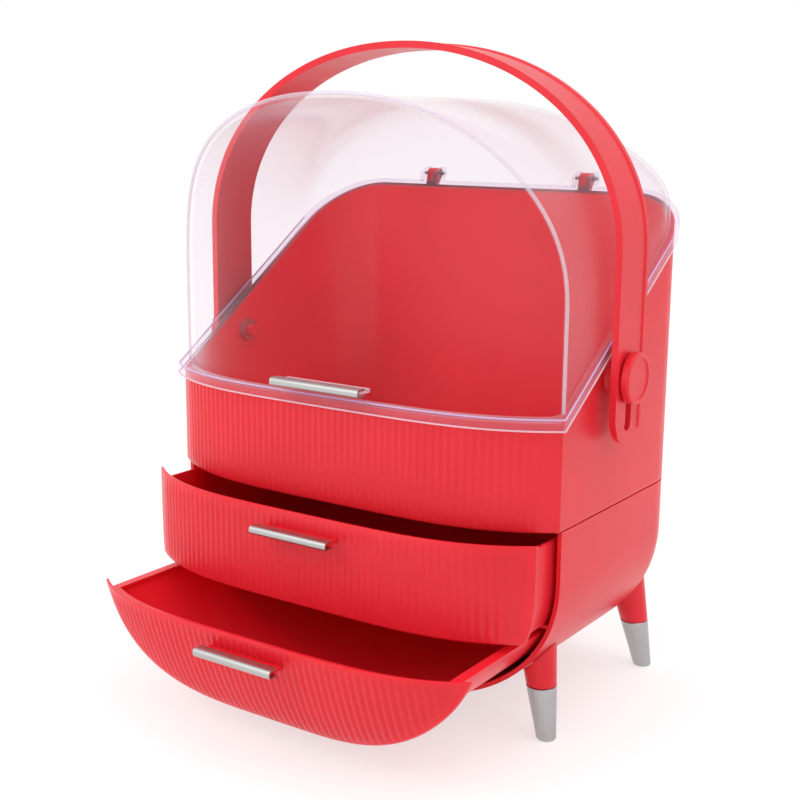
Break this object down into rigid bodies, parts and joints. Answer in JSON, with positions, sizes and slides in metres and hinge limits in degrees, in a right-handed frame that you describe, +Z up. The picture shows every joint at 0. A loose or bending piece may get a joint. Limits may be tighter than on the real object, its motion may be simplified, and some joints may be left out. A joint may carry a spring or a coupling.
{
  "type": "makeup organizer",
  "caption": "Makeup organizer: bowed drawers under an open tub with a clear domed lid, an arched carry handle and splayed legs.",
  "frame": {"origin": "on the floor, under the middle of the overall box with the drawers as pictured", "axes": "+Z up, +X to the viewer's right, the drawers' fronts face -Y"},
  "size_m": [0.3026, 0.2868, 0.389],
  "materials": {
    "red_plastic": "glossy red moulded plastic",
    "drawer_plastic": "glossy deeper red moulded plastic",
    "clear_plastic": "clear plastic with a faint lilac tint",
    "satin_steel": "satin bent sheet",
    "chrome": "bright plated",
    "zinc": "zinc plated steel"
  },
  "bodies": {
    "cabinet": {"lower_housing": "red_plastic", "drawer_shelf": "red_plastic", "upper_tub": "red_plastic", "leg_cone_front_right": "red_plastic", "leg_tip_front_right": "chrome", "leg_screw_front_right": "zinc", "leg_cone_front_left": "red_plastic", "leg_tip_front_left": "chrome", "leg_screw_front_left": "zinc", "leg_cone_back_right": "red_plastic", "leg_tip_back_right": "chrome", "leg_screw_back_right": "zinc", "leg_cone_back_left": "red_plastic", "leg_tip_back_left": "chrome", "leg_screw_back_left": "zinc", "tub_screw_1": "zinc", "tub_screw_2": "zinc", "tub_screw_3": "zinc", "tub_screw_4": "zinc"},
    "lid": {"lid_dome": "clear_plastic", "lid_pull": "satin_steel", "hinge_pin_left": "zinc", "hinge_pin_right": "zinc"},
    "upper_drawer_unit": {"upper_drawer": "drawer_plastic", "upper_drawer_pull": "satin_steel"},
    "lower_drawer_unit": {"lower_drawer": "drawer_plastic", "lower_drawer_pull": "satin_steel"},
    "handle_pivots": {"knob_left": "red_plastic", "knob_right": "red_plastic", "stem_clip_left": "zinc", "stem_clip_right": "zinc"},
    "handle": {"carry_handle": "red_plastic"}
  },
  "joints": [
    {"name": "lid_hinge", "type": "hinge", "parent": "cabinet", "child": "lid", "pos_m": [0, 0.13901, 0.30893], "axis": [-1, 0, 0], "range_deg": [0, 9]},
    {"name": "upper_slide", "type": "slide", "parent": "cabinet", "child": "upper_drawer_unit", "axis": [0, -1, 0], "range_m": [-0.024, 0.079]},
    {"name": "lower_slide", "type": "slide", "parent": "cabinet", "child": "lower_drawer_unit", "axis": [0, -1, 0], "range_m": [-0.0745, 0.0285]},
    {"name": "handle_swing", "type": "hinge", "parent": "cabinet", "child": "handle_pivots", "pos_m": [0, 0.02551, 0.207], "axis": [1, 0, 0], "range_deg": [-23, 103]},
    {"name": "handle_lift", "type": "slide", "parent": "handle_pivots", "child": "handle", "axis": [0, 0, 1], "range_m": [0, 0.026]}
  ]
}
